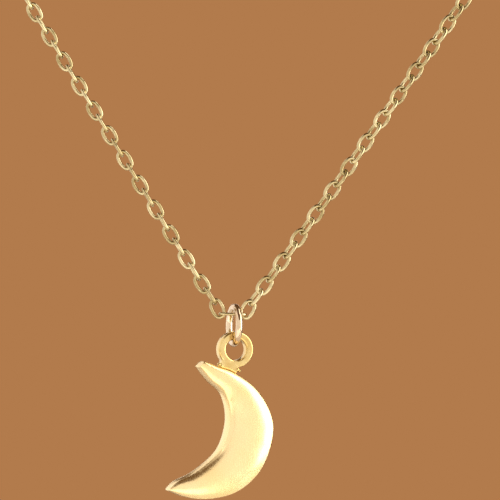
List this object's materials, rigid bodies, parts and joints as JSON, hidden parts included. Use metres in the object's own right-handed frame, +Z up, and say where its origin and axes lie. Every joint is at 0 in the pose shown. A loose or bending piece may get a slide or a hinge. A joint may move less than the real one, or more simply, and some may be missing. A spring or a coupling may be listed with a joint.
{
  "type": "pendant necklace",
  "caption": "Fine gold cable chain worn in a V, with a solid crescent moon charm hanging from its loop on a round jump ring and a spring ring clasp at the nape.",
  "frame": {"origin": "middle of the neck opening, level with the clasp and the back of the chain", "axes": "+Z up, -Y towards the viewer that the charm faces, +X to that viewer's right; the clasp is at the back, on the +Y side"},
  "size_m": [0.1088, 0.0986, 0.1101],
  "materials": {
    "chain_gold": "polished pale gold plate",
    "charm_gold": "polished yellow gold plate, cast",
    "spring_steel": "bright drawn spring wire"
  },
  "bodies": {
    "necklace": {"chain_left_1": "chain_gold", "chain_left_2": "chain_gold", "chain_left_3": "chain_gold", "chain_left_4": "chain_gold", "chain_left_5": "chain_gold", "chain_left_6": "chain_gold", "chain_left_7": "chain_gold", "chain_left_8": "chain_gold", "chain_right_1": "chain_gold", "chain_right_2": "chain_gold", "chain_right_3": "chain_gold", "chain_right_4": "chain_gold", "chain_right_5": "chain_gold", "chain_right_6": "chain_gold", "chain_right_7": "chain_gold", "chain_right_8": "chain_gold", "end_ring": "chain_gold", "link_left_end": "chain_gold", "link_right_end": "chain_gold", "link_ring": "chain_gold"},
    "link_bottom": {"link_bottom": "chain_gold"},
    "link_left_01": {"link_left_01": "chain_gold"},
    "link_left_02": {"link_left_02": "chain_gold"},
    "link_left_03": {"link_left_03": "chain_gold"},
    "link_left_04": {"link_left_04": "chain_gold"},
    "link_left_05": {"link_left_05": "chain_gold"},
    "link_left_06": {"link_left_06": "chain_gold"},
    "link_left_07": {"link_left_07": "chain_gold"},
    "link_left_08": {"link_left_08": "chain_gold"},
    "link_left_09": {"link_left_09": "chain_gold"},
    "link_left_10": {"link_left_10": "chain_gold"},
    "link_left_11": {"link_left_11": "chain_gold"},
    "link_right_01": {"link_right_01": "chain_gold"},
    "link_right_02": {"link_right_02": "chain_gold"},
    "link_right_03": {"link_right_03": "chain_gold"},
    "link_right_04": {"link_right_04": "chain_gold"},
    "link_right_05": {"link_right_05": "chain_gold"},
    "link_right_06": {"link_right_06": "chain_gold"},
    "link_right_07": {"link_right_07": "chain_gold"},
    "link_right_08": {"link_right_08": "chain_gold"},
    "link_right_09": {"link_right_09": "chain_gold"},
    "link_right_10": {"link_right_10": "chain_gold"},
    "link_right_11": {"link_right_11": "chain_gold"},
    "jump_ring": {"jump_ring": "chain_gold"},
    "charm": {"charm_loop": "charm_gold", "moon": "charm_gold"},
    "clasp": {"clasp_casing": "chain_gold", "clasp_spring": "spring_steel", "clasp_eye": "chain_gold"},
    "clasp_bolt": {"clasp_bolt": "chain_gold"}
  },
  "joints": [
    {"name": "charm_swing", "type": "hinge", "parent": "jump_ring", "child": "charm", "pos_m": [0.00016, -0.046, -0.09484], "axis": [-0.309, 0.9511, 0], "range_deg": [-35, 35]},
    {"name": "clasp_bolt_slide", "type": "hinge", "parent": "clasp", "child": "clasp_bolt", "pos_m": [0.00121, 0.04903, 0], "axis": [0, 1, 0], "range_deg": [0, 40], "stiffness_Nm_per_rad": 0.00002, "springref_deg": -20.05},
    {"name": "clasp_turn", "type": "hinge", "parent": "necklace", "child": "clasp", "pos_m": [0.00121, 0.04903, 0], "axis": [1, 0, 0], "range_deg": [-20, 20]},
    {"name": "jump_ring_swing", "type": "hinge", "parent": "link_bottom", "child": "jump_ring", "pos_m": [0, -0.046, -0.09251], "axis": [1, 0, 0], "range_deg": [-10, 10]},
    {"name": "link_bottom_twist", "type": "hinge", "parent": "necklace", "child": "link_bottom", "pos_m": [0, -0.046, -0.09251], "axis": [1, 0, 0], "range_deg": [-10, 10]},
    {"name": "link_left_01_twist", "type": "hinge", "parent": "necklace", "child": "link_left_01", "pos_m": [-0.00121, -0.04599, -0.09211], "axis": [-0.4528, 0.0148, 0.8915], "range_deg": [-4, 4]},
    {"name": "link_left_02_twist", "type": "hinge", "parent": "necklace", "child": "link_left_02", "pos_m": [-0.00182, -0.04597, -0.09112], "axis": [-0.5875, 0.0169, 0.809], "range_deg": [-10, 10]},
    {"name": "link_left_03_twist", "type": "hinge", "parent": "necklace", "child": "link_left_03", "pos_m": [-0.0025, -0.04595, -0.09016], "axis": [-0.5698, 0.0225, 0.8214], "range_deg": [-10, 10]},
    {"name": "link_left_04_twist", "type": "hinge", "parent": "necklace", "child": "link_left_04", "pos_m": [-0.00316, -0.04592, -0.0892], "axis": [-0.5618, 0.0281, 0.8268], "range_deg": [-10, 10]},
    {"name": "link_left_05_twist", "type": "hinge", "parent": "necklace", "child": "link_left_05", "pos_m": [-0.00382, -0.04588, -0.08823], "axis": [-0.5575, 0.0337, 0.8295], "range_deg": [-10, 10]},
    {"name": "link_left_06_twist", "type": "hinge", "parent": "necklace", "child": "link_left_06", "pos_m": [-0.00447, -0.04584, -0.08726], "axis": [-0.5548, 0.0392, 0.8311], "range_deg": [-10, 10]},
    {"name": "link_left_07_twist", "type": "hinge", "parent": "necklace", "child": "link_left_07", "pos_m": [-0.00512, -0.04579, -0.08629], "axis": [-0.5529, 0.0448, 0.832], "range_deg": [-10, 10]},
    {"name": "link_left_08_twist", "type": "hinge", "parent": "necklace", "child": "link_left_08", "pos_m": [-0.00576, -0.04574, -0.08531], "axis": [-0.5516, 0.0504, 0.8326], "range_deg": [-10, 10]},
    {"name": "link_left_09_twist", "type": "hinge", "parent": "necklace", "child": "link_left_09", "pos_m": [-0.00641, -0.04567, -0.08434], "axis": [-0.5505, 0.056, 0.833], "range_deg": [-10, 10]},
    {"name": "link_left_10_twist", "type": "hinge", "parent": "necklace", "child": "link_left_10", "pos_m": [-0.00705, -0.0456, -0.08336], "axis": [-0.5496, 0.0617, 0.8332], "range_deg": [-10, 10]},
    {"name": "link_left_11_twist", "type": "hinge", "parent": "necklace", "child": "link_left_11", "pos_m": [-0.00769, -0.04553, -0.08239], "axis": [-0.5488, 0.0673, 0.8333], "range_deg": [-10, 10]},
    {"name": "link_right_01_twist", "type": "hinge", "parent": "necklace", "child": "link_right_01", "pos_m": [0.00121, -0.04599, -0.09211], "axis": [0.4528, 0.0148, 0.8915], "range_deg": [-2, 2]},
    {"name": "link_right_02_twist", "type": "hinge", "parent": "necklace", "child": "link_right_02", "pos_m": [0.00182, -0.04597, -0.09112], "axis": [0.5875, 0.0169, 0.809], "range_deg": [-2, 2]},
    {"name": "link_right_03_twist", "type": "hinge", "parent": "necklace", "child": "link_right_03", "pos_m": [0.0025, -0.04595, -0.09016], "axis": [0.5698, 0.0225, 0.8214], "range_deg": [-4, 4]},
    {"name": "link_right_04_twist", "type": "hinge", "parent": "necklace", "child": "link_right_04", "pos_m": [0.00316, -0.04592, -0.0892], "axis": [0.5618, 0.0281, 0.8268], "range_deg": [-4, 4]},
    {"name": "link_right_05_twist", "type": "hinge", "parent": "necklace", "child": "link_right_05", "pos_m": [0.00382, -0.04588, -0.08823], "axis": [0.5575, 0.0337, 0.8295], "range_deg": [-4, 4]},
    {"name": "link_right_06_twist", "type": "hinge", "parent": "necklace", "child": "link_right_06", "pos_m": [0.00447, -0.04584, -0.08726], "axis": [0.5548, 0.0392, 0.8311], "range_deg": [-4, 4]},
    {"name": "link_right_07_twist", "type": "hinge", "parent": "necklace", "child": "link_right_07", "pos_m": [0.00512, -0.04579, -0.08629], "axis": [0.5529, 0.0448, 0.832], "range_deg": [-4, 4]},
    {"name": "link_right_08_twist", "type": "hinge", "parent": "necklace", "child": "link_right_08", "pos_m": [0.00576, -0.04574, -0.08531], "axis": [0.5516, 0.0504, 0.8326], "range_deg": [-4, 4]},
    {"name": "link_right_09_twist", "type": "hinge", "parent": "necklace", "child": "link_right_09", "pos_m": [0.00641, -0.04567, -0.08434], "axis": [0.5505, 0.056, 0.833], "range_deg": [-4, 4]},
    {"name": "link_right_10_twist", "type": "hinge", "parent": "necklace", "child": "link_right_10", "pos_m": [0.00705, -0.0456, -0.08336], "axis": [0.5496, 0.0617, 0.8332], "range_deg": [-4, 4]},
    {"name": "link_right_11_twist", "type": "hinge", "parent": "necklace", "child": "link_right_11", "pos_m": [0.00769, -0.04553, -0.08239], "axis": [0.5488, 0.0673, 0.8333], "range_deg": [-4, 4]}
  ]
}
